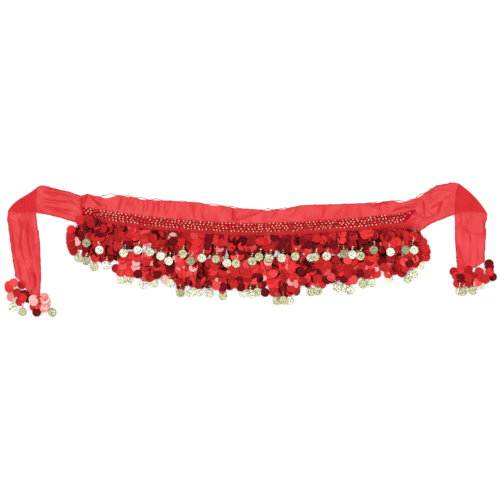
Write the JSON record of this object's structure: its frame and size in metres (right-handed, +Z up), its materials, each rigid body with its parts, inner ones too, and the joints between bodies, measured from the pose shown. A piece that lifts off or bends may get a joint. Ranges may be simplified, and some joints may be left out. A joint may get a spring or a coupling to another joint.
{
  "type": "belly dance hip scarf",
  "caption": "Sheer red chiffon hip scarf laid flat, with a beaded band, tiers of paillette and coin fringe, and folded ties.",
  "frame": {"origin": "on the surface that the scarf rests on, under the middle of its outline", "axes": "+X along the scarf towards its right tie, +Y towards the upper edge of the body panel, +Z up, away from the surface"},
  "size_m": [1.2277, 0.3345, 0.0058],
  "materials": {
    "chiffon": "sheer, soft weave with a dull sheen",
    "beadwork": "dense red cloth under gold seed beads",
    "paillettes": "mirror-like red foil",
    "gold_beads": "polished gold-coloured seed beads",
    "coins": "pale gold plate with pressed relief",
    "thread": "crocheted red thread"
  },
  "bodies": {
    "root": {"body_panel": "chiffon", "left_tie": "chiffon", "right_tie": "chiffon", "bead_band": "beadwork", "upper_fringe": "paillettes", "lower_fringe": "paillettes", "left_tie_fringe": "paillettes", "right_tie_fringe": "paillettes"}
  },
  "joints": []
}
